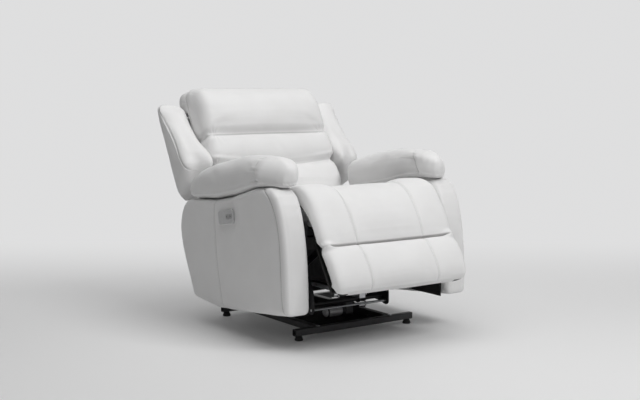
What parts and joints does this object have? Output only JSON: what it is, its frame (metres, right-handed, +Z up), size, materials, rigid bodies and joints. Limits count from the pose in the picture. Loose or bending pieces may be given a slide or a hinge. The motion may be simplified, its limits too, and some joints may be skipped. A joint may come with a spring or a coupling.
{
  "type": "power rocker recliner",
  "caption": "Padded reclining armchair on a sprung rocker base, with a motor-driven fold-out legrest, a winged hinged back and push buttons on one arm.",
  "frame": {"origin": "on the floor, under the middle of the chair's bounding box in the stored pose", "axes": "+Z up, -Y the way the chair faces, +X to the sitter's left; the side views mirror about X = 0 except for the control plate"},
  "size_m": [0.9526, 1.2444, 1.0036],
  "materials": {
    "cover": "soft satin grain",
    "black_steel": "satin black",
    "base_steel": "satin dark grey",
    "zinc_steel": "zinc plated",
    "spring_steel": "oiled",
    "glide_rubber": "matte",
    "plywood": "black stain",
    "grey_plastic": "satin",
    "button_plastic": "matte",
    "black_plastic": "matte",
    "motor_shell": "satin"
  },
  "bodies": {
    "base": {"base_rail_front": "base_steel", "base_rail_rear": "base_steel", "base_rail_left": "base_steel", "base_rail_right": "base_steel", "glide_front_left": "glide_rubber", "glide_front_right": "glide_rubber", "glide_rear_left": "glide_rubber", "glide_rear_right": "glide_rubber", "rocker_bracket_left": "black_steel", "rocker_bracket_right": "black_steel", "rocker_spring_front_left": "spring_steel", "rocker_spring_front_right": "spring_steel", "rocker_spring_rear_left": "spring_steel", "rocker_spring_rear_right": "spring_steel"},
    "chassis": {"side_plate_left": "black_steel", "side_plate_right": "black_steel", "cross_rail_front": "black_steel", "cross_rail_rear": "black_steel", "tie_rod": "zinc_steel", "seat_deck": "plywood", "seat_rail_front": "plywood", "seat_rail_rear": "plywood", "seat_cushion": "cover", "arm_left": "cover", "arm_right": "cover", "arm_pillow_left": "cover", "arm_pillow_right": "cover", "rear_apron": "cover", "control_plate": "grey_plastic", "actuator_guide": "zinc_steel", "actuator_gearbox": "black_plastic", "actuator_motor": "motor_shell"},
    "drive_links": {"torque_tube": "black_steel", "actuator_crank": "black_steel", "drive_link_left": "black_steel", "drive_link_right": "black_steel"},
    "idler_links": {"idler_link_left": "black_steel", "idler_link_right": "black_steel"},
    "carriers": {"carrier_left": "black_steel", "carrier_right": "black_steel"},
    "ottoman": {"ottoman_board": "plywood", "ottoman_bracket_left": "black_steel", "ottoman_bracket_right": "black_steel", "legrest_pad_upper": "cover", "legrest_pad_lower": "cover"},
    "slider": {"actuator_slider": "black_plastic"},
    "back": {"back_bracket_left": "black_steel", "back_bracket_right": "black_steel", "back_upright_left": "plywood", "back_upright_right": "plywood", "back_rail_low": "plywood", "back_rail_top": "plywood", "back_panel": "cover", "back_pad_lumbar": "cover", "back_pad_mid": "cover", "back_pad_head": "cover", "back_wing_left": "cover", "back_wing_right": "cover"},
    "open_button": {"button_open": "button_plastic"},
    "close_button": {"button_close": "button_plastic"}
  },
  "joints": [
    {"name": "rock", "type": "hinge", "parent": "base", "child": "chassis", "pos_m": [0, 0.00293, 0.085], "axis": [1, 0, 0], "range_deg": [-6, 6], "stiffness_Nm_per_rad": 1500, "deforming": ["rocker_spring_front_left", "rocker_spring_front_right", "rocker_spring_rear_left", "rocker_spring_rear_right"]},
    {"name": "legrest", "type": "hinge", "parent": "chassis", "child": "drive_links", "pos_m": [0, -0.21807, 0.123], "axis": [1, 0, 0], "range_deg": [-32, 56]},
    {"name": "idler", "type": "hinge", "parent": "chassis", "child": "idler_links", "pos_m": [0, -0.12807, 0.123], "axis": [1, 0, 0], "range_deg": [-33, 57]},
    {"name": "carrier", "type": "hinge", "parent": "drive_links", "child": "carriers", "pos_m": [0, -0.18688, 0.26972], "axis": [1, 0, 0], "range_deg": [-57, 33]},
    {"name": "ottoman", "type": "hinge", "parent": "carriers", "child": "ottoman", "pos_m": [0, -0.37688, 0.39972], "axis": [-1, 0, 0], "range_deg": [-33, 57]},
    {"name": "actuator_slide", "type": "slide", "parent": "chassis", "child": "slider", "axis": [0, -1, 0], "range_m": [-0.031, 0.053]},
    {"name": "recline", "type": "hinge", "parent": "chassis", "child": "back", "pos_m": [0, 0.22793, 0.43], "axis": [-1, 0, 0], "range_deg": [-10, 28]},
    {"name": "press_open", "type": "slide", "parent": "chassis", "child": "open_button", "axis": [1, 0, 0], "range_m": [0, 0.0018], "stiffness_N_per_m": 900},
    {"name": "press_close", "type": "slide", "parent": "chassis", "child": "close_button", "axis": [1, 0, 0], "range_m": [0, 0.0018], "stiffness_N_per_m": 900}
  ],
  "couplings": [
    {"joint": "idler", "follows": "legrest", "ratio": 1},
    {"joint": "carrier", "follows": "legrest", "ratio": -1},
    {"joint": "ottoman", "follows": "legrest", "ratio": 1},
    {"joint": "actuator_slide", "follows": "legrest", "m_per_rad": 0.0525}
  ]
}
